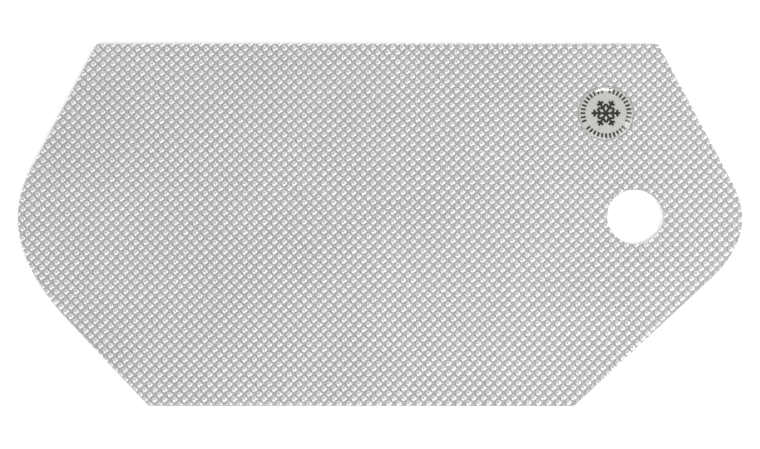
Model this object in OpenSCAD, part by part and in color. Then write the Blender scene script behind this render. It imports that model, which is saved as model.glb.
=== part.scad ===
// Clear studded grip sheet for a snowboard deck, on an adhesive layer and a peel-off liner.
// Origin: middle of the sheet's plan on the liner's underside. +X runs along the long way,
// +Y towards the longer straight edge, +Z out of the gripping face. Millimetres.

/* [Outline] */
// Depth of the pad between its two straight edges
pad_depth = 111.4; // [90:0.1:130]
// Left end of the upper straight edge
upper_left_x = -86.7; // [-90:0.1:-80]
// Right end of the upper straight edge
upper_right_x = 84.9; // [80:0.1:90]
// Left end of the lower straight edge
lower_left_x = -69.4; // [-75:0.1:-60]
// Right end of the lower straight edge
lower_right_x = 58.7; // [50:0.1:65]
// Point where the two left sides would meet, [x, y]
left_apex = [-117.1, -5.4];
// Point where the two right sides would meet, [x, y]
right_apex = [115.0, -3.1];
// Share of the upper left side taken by the rounded tip
left_tip_up = 0.35; // [0.1:0.01:0.6]
// Share of the lower left side taken by the rounded tip
left_tip_down = 0.48; // [0.1:0.01:0.6]
// Share of each right side taken by the rounded tip
right_tip = 0.26; // [0.1:0.01:0.6]
// Share of a side taken by the softening of a die-cut corner
corner_soft = 0.004; // [0.002:0.001:0.03]

/* [Layers] */
// Thickness of the silicone-coated release liner
liner_t = 0.15; // [0.1:0.01:0.3]
// Thickness of the clear adhesive under the sheet
adhesive_t = 0.15; // [0.05:0.01:0.4]
// Thickness of the sheet's web, under the studs
web_t = 1; // [0.8:0.1:2]
// Height of the moulded studs above the web
stud_h = 0.65; // [0.4:0.05:1]

/* [Punched hole] */
// Centre of the hole, [x, y]
hole_at = [77.5, 2.1];
// Diameter of the hole through every layer
hole_d = 17; // [10:0.5:20]

/* [Badge] */
// Centre of the round badge, [x, y]
badge_at = [68.8, 34];
// Diameter of the smooth seat that carries the badge
seat_d = 17; // [16.8:0.1:20]
// Diameter of the badge
badge_d = 16.6; // [15:0.1:16.6]
// Thickness of the badge's own adhesive
badge_glue_t = 0.1; // [0.05:0.01:0.2]
// Thickness of the badge's silver-grey film
film_t = 0.15; // [0.1:0.01:0.3]
// Thickness of the printed ink
ink_t = 0.04; // [0.02:0.01:0.06]
// Height of the clear resin lens over the film
lens_h = 1.1; // [0.8:0.05:1.6]

/* [Badge print] */
// Reach of each arm of the snowflake from the centre
flake_r = 4.4; // [3:0.1:4.8]
// Width of every line of the snowflake
flake_line = 0.7; // [0.3:0.05:0.8]
// Length of each mark in the ring round the snowflake
mark_l = 1.5; // [1:0.1:1.8]
// Width of each mark
mark_w = 0.6; // [0.3:0.05:0.7]
// Gap between the ring of marks and the badge's edge
mark_inset = 0.5; // [0.3:0.1:0.8]
// Number of places for marks round the ring
mark_places = 36; // [30:3:42]
// Every so many places one is left empty
gap_every = 12; // [6:1:14]

/* [Hidden] */
$fn = 96;
cut = 1;
tip_steps = 24;
corner_steps = 4;
lens_steps = 16;
lens_flatness = 6;
flake_arms = 6;
branch_at = [0.4, 0.7];
branch_l = [1.6, 1.2];
branch_angle = 60;

half_depth = pad_depth / 2;
adhesive_z = liner_t;
web_z = adhesive_z + adhesive_t;
seat_z = web_z + web_t;
top_z = seat_z + stud_h;
film_z = seat_z + badge_glue_t;
ink_z = film_z + film_t;
marks_to_r = badge_d / 2 - mark_inset;
marks_from_r = marks_to_r - mark_l;

CORNERS = [[upper_left_x, half_depth], [upper_right_x, half_depth], right_apex,
           [lower_right_x, -half_depth], [lower_left_x, -half_depth], left_apex];
// Shares of the sides before and after each corner that its rounding takes
SOFTENING = [[corner_soft, corner_soft], [corner_soft, corner_soft], [right_tip, right_tip],
             [corner_soft, corner_soft], [corner_soft, corner_soft],
             [left_tip_down, left_tip_up]];
FREE_OUTLINE = [for (i = [0:len(CORNERS) - 1]) each rounding(i)];
middle_x = (min([for (p = FREE_OUTLINE) p[0]]) + max([for (p = FREE_OUTLINE) p[0]])) / 2;
OUTLINE = [for (p = FREE_OUTLINE) [p[0] - middle_x, p[1]]];

// A parabola from one side to the next, tangent to both
function parabola(a, b, c, t) = (1 - t) * (1 - t) * a + 2 * t * (1 - t) * b + t * t * c;

// Points that round corner i of the outline
function rounding(i) =
    let (n = len(CORNERS),
         here = CORNERS[i],
         before = here + (CORNERS[(i + n - 1) % n] - here) * SOFTENING[i][0],
         after = here + (CORNERS[(i + 1) % n] - here) * SOFTENING[i][1],
         steps = norm(after - before) > 10 ? tip_steps : corner_steps)
    [for (k = [0:steps]) parabola(before, here, after, k / steps)];

// Height of the resin lens at radius r, nearly flat with a rounded shoulder down to the film's edge
function lens_height(r) = lens_h * (1 - pow(2 * r / badge_d, lens_flatness));

// A layer with the pad's outline and the punched hole
module punched_layer(z, t) {
    difference() {
        translate([0, 0, z]) linear_extrude(t) polygon(OUTLINE);
        translate([hole_at[0], hole_at[1], z - cut]) cylinder(h = t + 2 * cut, d = hole_d);
    }
}

// A disc of the badge
module badge_disc(z, t, d) {
    translate([badge_at[0], badge_at[1], z]) cylinder(h = t, d = d);
}

// A snowflake of straight lines, flat
module snowflake() {
    for (arm = [0:flake_arms - 1]) rotate(arm * 360 / flake_arms) {
        translate([0, -flake_line / 2]) square([flake_r, flake_line]);
        for (b = [0:len(branch_at) - 1], side = [-1, 1])
            translate([flake_r * branch_at[b], 0]) rotate(side * branch_angle)
                translate([0, -flake_line / 2]) square([branch_l[b], flake_line]);
    }
}

// Short radial marks round the rim in groups, flat
module ring_of_marks() {
    for (i = [0:mark_places - 1]) if (i % gap_every != 0) rotate(90 + i * 360 / mark_places)
        translate([marks_from_r, -mark_w / 2]) square([mark_l, mark_w]);
}

// The ink's body, which also hollows the lens above it
module ink() {
    translate([badge_at[0], badge_at[1], ink_z]) {
        linear_extrude(ink_t) snowflake();
        linear_extrude(ink_t) ring_of_marks();
    }
}

// Paper liner that the pad is peeled from
module release_liner() {
    color("darkgray") punched_layer(0, liner_t);
}

// Clear pressure-sensitive adhesive
module pad_adhesive() {
    color("gainsboro") punched_layer(adhesive_z, adhesive_t);
}

// Clear moulded sheet. Its top is the plane of the stud tops, with a seat sunk for the badge
module grip_sheet() {
    color("silver") difference() {
        punched_layer(web_z, web_t + stud_h);
        badge_disc(seat_z, stud_h + cut, seat_d);
    }
}

// Adhesive on the back of the badge
module badge_adhesive() {
    color("whitesmoke") badge_disc(seat_z, badge_glue_t, badge_d);
}

// Silver-grey film that carries the print
module badge_film() {
    color("darkgray") badge_disc(film_z, film_t, badge_d);
}

// Black print on the film
module badge_print() {
    color("black") ink();
}

// Clear domed resin poured over the film
module badge_lens() {
    color("gainsboro") difference() {
        translate([badge_at[0], badge_at[1], ink_z]) rotate_extrude()
            polygon([[0, 0], for (i = [lens_steps:-1:0])
                let (r = badge_d / 2 * sin(90 * i / lens_steps)) [r, lens_height(r)]]);
        ink();
    }
}

release_liner();
pad_adhesive();
grip_sheet();
badge_adhesive();
badge_film();
badge_print();
badge_lens();
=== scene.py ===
"""Looks of a clear studded grip sheet with a small domed badge, on its adhesive and release liner."""

import bmesh
import bpy
import math

import numpy as np
from mathutils import Matrix, Vector

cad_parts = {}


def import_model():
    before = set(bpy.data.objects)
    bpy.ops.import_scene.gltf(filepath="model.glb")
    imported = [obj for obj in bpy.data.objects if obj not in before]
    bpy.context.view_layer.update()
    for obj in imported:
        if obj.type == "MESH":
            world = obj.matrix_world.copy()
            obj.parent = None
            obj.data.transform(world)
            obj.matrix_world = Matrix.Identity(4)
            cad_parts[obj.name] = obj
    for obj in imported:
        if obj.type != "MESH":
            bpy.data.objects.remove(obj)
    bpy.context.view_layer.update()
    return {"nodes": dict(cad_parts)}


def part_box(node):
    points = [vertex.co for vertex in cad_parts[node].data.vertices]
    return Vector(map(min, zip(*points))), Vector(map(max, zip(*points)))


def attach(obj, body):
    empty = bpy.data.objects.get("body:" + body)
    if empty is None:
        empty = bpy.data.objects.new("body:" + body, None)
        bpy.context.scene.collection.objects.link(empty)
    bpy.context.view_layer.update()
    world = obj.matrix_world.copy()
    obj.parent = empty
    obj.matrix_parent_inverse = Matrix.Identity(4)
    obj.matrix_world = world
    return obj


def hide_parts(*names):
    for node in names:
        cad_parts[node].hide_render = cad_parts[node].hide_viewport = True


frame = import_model()

MM = 0.001

# Studs stand in rows along the straight edges, and every other row is shifted by half a pitch
STUD_PITCH = 3.0 * MM
STUD_RADIUS = 0.98 * MM
STUD_HEIGHT = 0.645 * MM
# Outline of a stud from the side: a higher flatness widens its crown, a lower fall steepens its flank
STUD_FLATNESS = 2.8
STUD_FALL = 0.62
# Height of the ground between studs above the level that stud heights are measured from
STUD_VALLEY = 0.01 * MM
# Turn of the rows against the straight edges, and the place of one stud
STUD_TILT = math.radians(0.34)
STUD_ORIGIN = (1.07 * MM, 0.55 * MM)
# Points round a stud, and the rings that they lie on as shares of its radius
STUD_SIDES = 12
STUD_RINGS = (0.55, 0.85, 1.0)

# How far the block of studs reaches past the sheet, to the sides and below, before it is cut
BLOCK_MARGIN = 2 * MM
BLOCK_DEPTH = 1 * MM
# Gap between the crowns and the top of the sheet's box
CROWN_GAP = 0.002 * MM

# Points closer than this are one point
SAME_POINT = 0.001 * MM
# How far a piece sinks into the one that it is bonded to
BOND_DEPTH = 0.02 * MM

# Heights of a face's normal that tell the web, a stud's flank and a die-cut wall apart
FLAT = 0.995
STEEP = 0.85
UPRIGHT = 0.2

# Shape of the badge's lens, flatter in the middle with a higher flatness, and its points
LENS_FLATNESS = 6
LENS_RINGS = 20
LENS_SIDES = 96

# Noise values between which most of a noise texture lies
NOISE_LOW = 0.3
NOISE_HIGH = 0.7


def link(obj):
    """Puts an object in the scene and returns it."""
    bpy.context.scene.collection.objects.link(obj)
    return obj


def baked(obj):
    """Replaces an object's mesh with the result of its modifiers."""
    graph = bpy.context.evaluated_depsgraph_get()
    mesh = bpy.data.meshes.new_from_object(obj.evaluated_get(graph))
    obj.modifiers.clear()
    obj.data = mesh
    return obj


def welded_copy(node, name):
    """A closed copy of a CAD node's mesh, its doubled edge points joined."""
    obj = link(bpy.data.objects.new(name, frame["nodes"][node].data.copy()))
    weld = obj.modifiers.new("weld", "WELD")
    weld.merge_threshold = SAME_POINT / 2
    return baked(obj)


def smooth(obj, sharp_from):
    """Shades a mesh smooth, apart from edges that bend by more than sharp_from degrees."""
    mesh = obj.data
    mesh.polygons.foreach_set("use_smooth", [True] * len(mesh.polygons))
    mesh.set_sharp_from_angle(angle=math.radians(sharp_from))


def crease(obj):
    """Keeps edges crisp round each stud's foot, and where the top meets a die-cut wall."""
    made = bmesh.new()
    made.from_mesh(obj.data)
    for edge in made.edges:
        if len(edge.link_faces) == 2:
            lean = sorted(abs(face.normal.z) for face in edge.link_faces)
            foot = lean[0] < STEEP < FLAT < lean[1]
            brink = lean[0] < UPRIGHT < lean[1]
            edge.smooth = edge.smooth and not foot and not brink
    made.to_mesh(obj.data)
    made.free()


def sink_underside(obj, z):
    """Moves the points of a piece's underside, at height z, into what it is bonded to."""
    co = np.empty(len(obj.data.vertices) * 3)
    obj.data.vertices.foreach_get("co", co)
    co[2::3] -= np.where(co[2::3] < z + SAME_POINT, BOND_DEPTH, 0)
    obj.data.vertices.foreach_set("co", co)


def stud_height(r):
    """Height of a stud at radius r: a flattened crown and a steep flank."""
    return STUD_HEIGHT * (1 - (r / STUD_RADIUS) ** STUD_FLATNESS) ** STUD_FALL


def stud_cell():
    """Points and faces of one lattice cell: rings round a stud, and ground out to the square's corners.

    A face has four places, and a triangle repeats its last point.
    """
    angles = np.arange(STUD_SIDES) * 2 * math.pi / STUD_SIDES
    points = [(0, 0, STUD_HEIGHT)]
    for share in STUD_RINGS:
        radius = share * STUD_RADIUS
        height = max(stud_height(radius), STUD_VALLEY)
        points += [(radius * math.cos(a), radius * math.sin(a), height) for a in angles]
    half = STUD_PITCH / 2
    points += [(x * half, y * half, STUD_VALLEY) for x, y in ((1, 0), (0, 1), (-1, 0), (0, -1))]
    foot = 1 + (len(STUD_RINGS) - 1) * STUD_SIDES
    corners = foot + STUD_SIDES
    quarter = STUD_SIDES // 4
    faces = []
    for k in range(STUD_SIDES):
        after = (k + 1) % STUD_SIDES
        faces.append((0, 1 + k, 1 + after, 1 + after))
        for inner in range(1, foot, STUD_SIDES):
            outer = inner + STUD_SIDES
            faces.append((inner + k, outer + k, outer + after, inner + after))
        side, step = divmod(k, quarter)
        corner, next_corner = corners + side, corners + (side + 1) % 4
        if step == quarter // 2:
            faces.append((foot + k, corner, next_corner, next_corner))
        nearest = corner if step < quarter // 2 else next_corner
        faces.append((foot + k, nearest, foot + after, foot + after))
    return np.array(points, float), np.array(faces)


def stud_centres(low, high, turn):
    """Plan places of the studs all over the box from low to high and a margin round it."""
    reach = int((high.x - low.x + high.y - low.y) / STUD_PITCH) + 2
    steps = [(i, j) for i in range(-reach, reach + 1) for j in range(-reach, reach + 1) if (i + j) % 2 == 0]
    centres = np.array(steps) * (STUD_PITCH / 2) @ turn + np.array(STUD_ORIGIN)
    x, y = centres.T
    inside = ((x > low.x - BLOCK_MARGIN) & (x < high.x + BLOCK_MARGIN)
              & (y > low.y - BLOCK_MARGIN) & (y < high.y + BLOCK_MARGIN))
    return centres[inside]


def stud_surface(low, high):
    """Points and faces of one unbroken studded surface over the box from low to high."""
    turn = np.array([[math.cos(STUD_TILT), math.sin(STUD_TILT)],
                     [-math.sin(STUD_TILT), math.cos(STUD_TILT)]])
    points, faces = stud_cell()
    points[:, :2] = points[:, :2] @ turn
    centres = stud_centres(low, high, turn)
    co = np.repeat(centres, len(points), axis=0)
    co = np.column_stack([co, np.zeros(len(co))]) + np.tile(points, (len(centres), 1))
    co[:, 2] += high.z - STUD_HEIGHT - CROWN_GAP
    faces = (np.arange(len(centres))[:, None, None] * len(points) + faces).reshape(-1, 4)
    keys = np.round(co / SAME_POINT).astype(np.int64)
    first, same = np.unique(keys, axis=0, return_index=True, return_inverse=True)[1:]
    return co[first], same.reshape(-1)[faces]


def open_edges(faces):
    """The edges that only one face uses, in that face's direction."""
    edges = np.concatenate([faces[:, [0, 1]], faces[:, [1, 2]], faces[:, [2, 3]], faces[:, [3, 0]]])
    edges = edges[edges[:, 0] != edges[:, 1]]
    known = {(a, b) for a, b in edges.tolist()}
    return [(a, b) for a, b in known if (b, a) not in known]


def stud_block(name, low, high):
    """A closed block whose top carries studs all over the box from low to high."""
    co, faces = stud_surface(low, high)
    below = len(co)
    low_co = co.copy()
    low_co[:, 2] = low.z - BLOCK_DEPTH
    tops = [tuple(dict.fromkeys(f)) for f in faces.tolist()]
    undersides = [tuple(v + below for v in reversed(f)) for f in tops]
    walls = [(b, a, a + below, b + below) for a, b in open_edges(faces)]
    mesh = bpy.data.meshes.new(name)
    mesh.from_pydata(np.concatenate([co, low_co]).tolist(), [], tops + undersides + walls)
    mesh.update()
    return link(bpy.data.objects.new(name, mesh))


def studded_sheet():
    """The block of studs cut to the sheet's own outline, hole and badge seat."""
    low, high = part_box("grip_sheet")
    sheet = stud_block("studded_sheet", low, high)
    blank = welded_copy("grip_sheet", "sheet_blank")
    cut = sheet.modifiers.new("die", "BOOLEAN")
    cut.operation = "INTERSECT"
    cut.solver = "MANIFOLD"
    cut.object = blank
    baked(sheet)
    bpy.data.objects.remove(blank)
    sink_underside(sheet, low.z)
    smooth(sheet, sharp_from=50)
    crease(sheet)
    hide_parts("grip_sheet")
    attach(sheet, "pad")
    return sheet


def badge_lens():
    """The resin lens as one turned skin: flat on top, with a rounded shoulder down to the film's edge."""
    low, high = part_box("badge_lens")
    low.z -= BOND_DEPTH
    centre = (low + high) / 2
    radius, height = (high.x - low.x) / 2, high.z - low.z
    angles = [2 * math.pi * k / LENS_SIDES for k in range(LENS_SIDES)]
    points = [(centre.x, centre.y, high.z)]
    for ring in range(1, LENS_RINGS + 1):
        share = math.sin(math.pi / 2 * ring / LENS_RINGS)
        z = low.z + height * (1 - share**LENS_FLATNESS)
        points += [(centre.x + radius * share * math.cos(a), centre.y + radius * share * math.sin(a), z)
                   for a in angles]
    round_trip = [(k, (k + 1) % LENS_SIDES) for k in range(LENS_SIDES)]
    faces = [(0, 1 + k, 1 + after) for k, after in round_trip]
    for inner in range(1, 1 + (LENS_RINGS - 1) * LENS_SIDES, LENS_SIDES):
        outer = inner + LENS_SIDES
        faces += [(inner + k, outer + k, outer + after, inner + after) for k, after in round_trip]
    rim = 1 + (LENS_RINGS - 1) * LENS_SIDES
    faces.append(tuple(rim + k for k in reversed(range(LENS_SIDES))))
    mesh = bpy.data.meshes.new("domed_lens")
    mesh.from_pydata(points, [], faces)
    lens = link(bpy.data.objects.new("domed_lens", mesh))
    smooth(lens, sharp_from=60)
    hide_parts("badge_lens")
    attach(lens, "pad")
    return lens


def material(name, **sockets):
    """A material with one Principled shader. Returns it, its node tree and the shader."""
    made = bpy.data.materials.new(name)
    made.use_nodes = True
    shader = made.node_tree.nodes["Principled BSDF"]
    for socket, value in sockets.items():
        shader.inputs[socket.replace("_", " ")].default_value = value
    return made, made.node_tree, shader


def grain(tree, scale, detail, low=0, high=1, stretch=(1, 1, 1)):
    """Noise over the piece's own coordinates, spread over low to high. Scale is in grains per metre."""
    place = tree.nodes.new("ShaderNodeTexCoord")
    mapping = tree.nodes.new("ShaderNodeMapping")
    mapping.inputs["Scale"].default_value = stretch
    noise = tree.nodes.new("ShaderNodeTexNoise")
    noise.inputs["Scale"].default_value = scale
    noise.inputs["Detail"].default_value = detail
    spread = tree.nodes.new("ShaderNodeMapRange")
    spread.inputs["From Min"].default_value = NOISE_LOW
    spread.inputs["From Max"].default_value = NOISE_HIGH
    spread.inputs["To Min"].default_value = low
    spread.inputs["To Max"].default_value = high
    tree.links.new(place.outputs["Object"], mapping.inputs["Vector"])
    tree.links.new(mapping.outputs[0], noise.inputs["Vector"])
    tree.links.new(noise.outputs["Fac"], spread.inputs["Value"])
    return spread.outputs[0]


def blend_colours(tree, share, first, second):
    """A colour between two colours, by another node's output."""
    mix = tree.nodes.new("ShaderNodeMix")
    mix.data_type = "RGBA"
    tree.links.new(share, mix.inputs["Factor"])
    for socket, colour in (("A", first), ("B", second)):
        target = next(i for i in mix.inputs if i.name == socket and i.type == "RGBA")
        target.default_value = (*colour, 1)
    return next(o for o in mix.outputs if o.type == "RGBA")


def relief(tree, height, depth):
    """A bump of the given depth in metres."""
    bump = tree.nodes.new("ShaderNodeBump")
    bump.inputs["Strength"].default_value = 1
    bump.inputs["Distance"].default_value = depth
    tree.links.new(height, bump.inputs["Height"])
    return bump.outputs[0]


def clear_plastic(name, tint, milk, cloudiness, roughness, ior, waves, depth):
    """See-through plastic: a tint, some milkiness in soft clouds, and a glossy skin with slow waves.

    The skin's gloss is left out on the inside, where Backfacing is 1.
    """
    made, tree, milky = material(name, Base_Color=(*milk, 1), Roughness=0.5)
    through = tree.nodes.new("ShaderNodeBsdfTransparent")
    through.inputs["Color"].default_value = (*tint, 1)
    body = tree.nodes.new("ShaderNodeMixShader")
    clouds = grain(tree, scale=60, detail=4, low=0.6 * cloudiness, high=1.4 * cloudiness)
    tree.links.new(clouds, body.inputs[0])
    tree.links.new(through.outputs[0], body.inputs[1])
    tree.links.new(milky.outputs[0], body.inputs[2])
    skin_normal = relief(tree, grain(tree, scale=waves, detail=2), depth)
    gloss = tree.nodes.new("ShaderNodeBsdfGlossy")
    gloss.inputs["Roughness"].default_value = roughness
    fresnel = tree.nodes.new("ShaderNodeFresnel")
    fresnel.inputs["IOR"].default_value = ior
    side = tree.nodes.new("ShaderNodeNewGeometry")
    outside = tree.nodes.new("ShaderNodeMath")
    outside.operation = "SUBTRACT"
    outside.use_clamp = True
    skin = tree.nodes.new("ShaderNodeMixShader")
    tree.links.new(skin_normal, gloss.inputs["Normal"])
    tree.links.new(skin_normal, fresnel.inputs["Normal"])
    tree.links.new(fresnel.outputs[0], outside.inputs[0])
    tree.links.new(side.outputs["Backfacing"], outside.inputs[1])
    tree.links.new(outside.outputs[0], skin.inputs[0])
    tree.links.new(body.outputs[0], skin.inputs[1])
    tree.links.new(gloss.outputs[0], skin.inputs[2])
    tree.links.new(skin.outputs[0], tree.nodes["Material Output"].inputs["Surface"])
    return made


def vinyl():
    """Translucent vinyl: light spreads inside it, and the mould leaves a fine grain on its glossy skin."""
    made, tree, shader = material(
        "clear_vinyl", IOR=2.0, Coat_Weight=1.0, Coat_Roughness=0.12, Coat_IOR=2.0,
        Subsurface_Weight=0.5, Subsurface_Scale=0.6 * MM, Subsurface_Radius=(1, 1, 1))
    tint = blend_colours(tree, grain(tree, scale=30, detail=4), (0.315, 0.315, 0.323), (0.345, 0.344, 0.348))
    tree.links.new(tint, shader.inputs["Base Color"])
    tree.links.new(grain(tree, scale=500, detail=2, low=0.14, high=0.21), shader.inputs["Roughness"])
    skin = relief(tree, grain(tree, scale=1500, detail=2), 0.001 * MM)
    tree.links.new(skin, shader.inputs["Normal"])
    return made


def cut_vinyl_painted_shade():
    """The sheet's die-cut walls: a dull surface with the blade's fine drag lines running down it, in a
    darker grey than the vinyl's face, which is painted shade on the walls.
    """
    made, tree, shader = material("cut_vinyl_painted_shade", Specular_IOR_Level=0.15)
    drag = grain(tree, scale=1500, detail=3, stretch=(1, 1, 0.1))
    # Painted shade: the walls are a darker grey than the vinyl's face; the drag lines on them are the
    # blade's.
    tint = blend_colours(tree, drag, (0.15, 0.15, 0.155), (0.21, 0.21, 0.215))
    tree.links.new(tint, shader.inputs["Base Color"])
    tree.links.new(grain(tree, scale=400, detail=2, low=0.6, high=0.8), shader.inputs["Roughness"])
    tree.links.new(relief(tree, drag, 0.01 * MM), shader.inputs["Normal"])
    return made


def liner_paper():
    """Silicone-coated grey liner paper: faint fibres along X under a satin coat."""
    made, tree, shader = material("liner_paper", Coat_Weight=0.3, Coat_Roughness=0.35)
    fibres = grain(tree, scale=500, detail=5, stretch=(0.3, 1, 1))
    tint = blend_colours(tree, fibres, (0.37, 0.375, 0.375), (0.44, 0.445, 0.44))
    tree.links.new(tint, shader.inputs["Base Color"])
    tree.links.new(grain(tree, scale=220, detail=3, low=0.38, high=0.55), shader.inputs["Roughness"])
    tree.links.new(relief(tree, fibres, 0.01 * MM), shader.inputs["Normal"])
    return made


def adhesive():
    """Clear tacky adhesive: faintly cloudy, with a dull skin."""
    return clear_plastic("clear_adhesive", tint=(0.92, 0.92, 0.91), milk=(0.5, 0.5, 0.49),
                         cloudiness=0.12, roughness=0.5, ior=1.35, waves=300, depth=0.01 * MM)


def silver_film():
    """Satin silver-grey film with a fine grain that runs along X."""
    made, tree, shader = material("silver_film", Metallic=0.3)
    brushed = grain(tree, scale=2500, detail=3, stretch=(0.4, 1, 1))
    tint = blend_colours(tree, brushed, (0.34, 0.34, 0.33), (0.41, 0.41, 0.4))
    tree.links.new(tint, shader.inputs["Base Color"])
    tree.links.new(grain(tree, scale=120, detail=2, low=0.36, high=0.46), shader.inputs["Roughness"])
    return made


def ink():
    """Screen-printed black ink, a little uneven."""
    made, tree, shader = material("black_ink", Specular_IOR_Level=0.1)
    patches = grain(tree, scale=1500, detail=3)
    tint = blend_colours(tree, patches, (0.003, 0.003, 0.003), (0.009, 0.009, 0.009))
    tree.links.new(tint, shader.inputs["Base Color"])
    tree.links.new(grain(tree, scale=900, detail=2, low=0.55, high=0.75), shader.inputs["Roughness"])
    return made


def resin():
    """Clear doming resin with a mirror-like skin."""
    return clear_plastic("clear_resin", tint=(0.985, 0.985, 0.97), milk=(0.9, 0.9, 0.88),
                         cloudiness=0.004, roughness=0.05, ior=1.5, waves=200, depth=0.004 * MM)


def dress(obj, made):
    """Gives a piece one material all over."""
    obj.data.materials.clear()
    obj.data.materials.append(made)


def dress_walls(obj, made):
    """Gives a second material to the faces that stand square to the sheet."""
    obj.data.materials.append(made)
    for face in obj.data.polygons:
        if abs(face.normal.z) < UPRIGHT:
            face.material_index = len(obj.data.materials) - 1


def camera(target, azimuth, elevation, distance, roll, lens):
    """The camera, aimed at target. Angles are in degrees, and azimuth 0 looks from the -Y side."""
    a, e, r = math.radians(azimuth), math.radians(elevation), math.radians(roll)
    back = Vector((math.sin(a) * math.cos(e), -math.cos(a) * math.cos(e), math.sin(e)))
    level = Vector((0, 0, 1)).cross(back).normalized()
    upright = back.cross(level)
    right = level * math.cos(r) + upright * math.sin(r)
    up = upright * math.cos(r) - level * math.sin(r)
    data = bpy.data.cameras.new("camera")
    data.lens, data.sensor_width = lens, 36
    data.clip_start, data.clip_end = 0.01, 20
    cam = link(bpy.data.objects.new("camera", data))
    cam.location = Vector(target) + back * distance
    cam.rotation_mode = "QUATERNION"
    cam.rotation_quaternion = Matrix((right, up, back)).transposed().to_quaternion()
    bpy.context.scene.camera = cam


def floor():
    """A plain pale floor, just under the liner."""
    half, z = 3.0, -0.05 * MM
    mesh = bpy.data.meshes.new("floor")
    corners = [(x * half, y * half, z) for x, y in ((-1, -1), (1, -1), (1, 1), (-1, 1))]
    mesh.from_pydata(corners, [], [(0, 1, 2, 3)])
    plane = link(bpy.data.objects.new("floor", mesh))
    made, tree, shader = material("floor", Roughness=0.9)
    tint = blend_colours(tree, grain(tree, scale=8, detail=3), (0.89, 0.89, 0.89), (0.92, 0.92, 0.92))
    tree.links.new(tint, shader.inputs["Base Color"])
    dress(plane, made)


def world(strengths):
    """Soft white light from all round. Strengths go from the horizon, at 0, to overhead, at 1."""
    scene = bpy.context.scene
    scene.world = bpy.data.worlds.new("studio")
    scene.world.use_nodes = True
    tree = scene.world.node_tree
    direction = tree.nodes.new("ShaderNodeTexCoord")
    split = tree.nodes.new("ShaderNodeSeparateXYZ")
    ramp = tree.nodes.new("ShaderNodeValToRGB")
    background = tree.nodes["Background"]
    brightest = max(strengths.values())
    heights = sorted(strengths)
    stops = ramp.color_ramp.elements
    for height in heights[1:-1]:
        stops.new(height)
    for height, stop in zip(heights, stops):
        stop.position = height
        stop.color = (strengths[height] / brightest,) * 3 + (1,)
    tree.links.new(direction.outputs["Generated"], split.inputs[0])
    tree.links.new(split.outputs["Z"], ramp.inputs["Fac"])
    tree.links.new(ramp.outputs["Color"], background.inputs["Color"])
    background.inputs["Strength"].default_value = brightest


def area_light(name, azimuth, elevation, distance, size, watts, colour, only=None):
    """A soft light aimed at the sheet's middle. Azimuth 0 is on the +X side, 90 on the +Y side.

    With only, it lights that one piece.
    """
    a, e = math.radians(azimuth), math.radians(elevation)
    back = Vector((math.cos(a) * math.cos(e), math.sin(a) * math.cos(e), math.sin(e)))
    data = bpy.data.lights.new(name, "AREA")
    data.shape = "RECTANGLE"
    data.size, data.size_y = size
    data.energy, data.color = watts, colour
    lamp = link(bpy.data.objects.new(name, data))
    lamp.location = back * distance
    lamp.rotation_mode = "QUATERNION"
    lamp.rotation_quaternion = back.to_track_quat("Z", "Y")
    if only:
        lit = bpy.data.collections.new(name + "_lit")
        lit.objects.link(only)
        lamp.light_linking.receiver_collection = lit


camera(target=(0.0001, -0.00014, 0), azimuth=5.1415, elevation=79.864, distance=1.198, roll=-5.0494,
       lens=187)

sheet = studded_sheet()
lens = badge_lens()
glue = adhesive()
dress(sheet, vinyl())
# The die-cut walls get a darker grey than the face: painted shade along the sheet's edge.
dress_walls(sheet, cut_vinyl_painted_shade())
dress(lens, resin())
dress(frame["nodes"]["release_liner"], liner_paper())
dress(frame["nodes"]["pad_adhesive"], glue)
dress(frame["nodes"]["badge_adhesive"], glue)
dress(frame["nodes"]["badge_film"], silver_film())
dress(frame["nodes"]["badge_print"], ink())

floor()
world({0: 0.75, 0.4: 1.5, 0.7: 1.1, 1: 0.5})
area_light("low", azimuth=-108, elevation=30, distance=1.0, size=(0.7, 0.7), watts=7.2,
           colour=(0.985, 0.985, 1))
area_light("right", azimuth=-14, elevation=30, distance=0.5, size=(0.43, 0.43), watts=2.5,
           colour=(1, 0.99, 0.97))
area_light("top", azimuth=97, elevation=30, distance=1.0, size=(0.3, 0.3), watts=1.2,
           colour=(1, 0.95, 0.84))
area_light("badge_glint", azimuth=87, elevation=30, distance=1.0, size=(0.45, 0.3), watts=10,
           colour=(1, 0.97, 0.88), only=lens)
bpy.context.scene.view_settings.view_transform = "Standard"
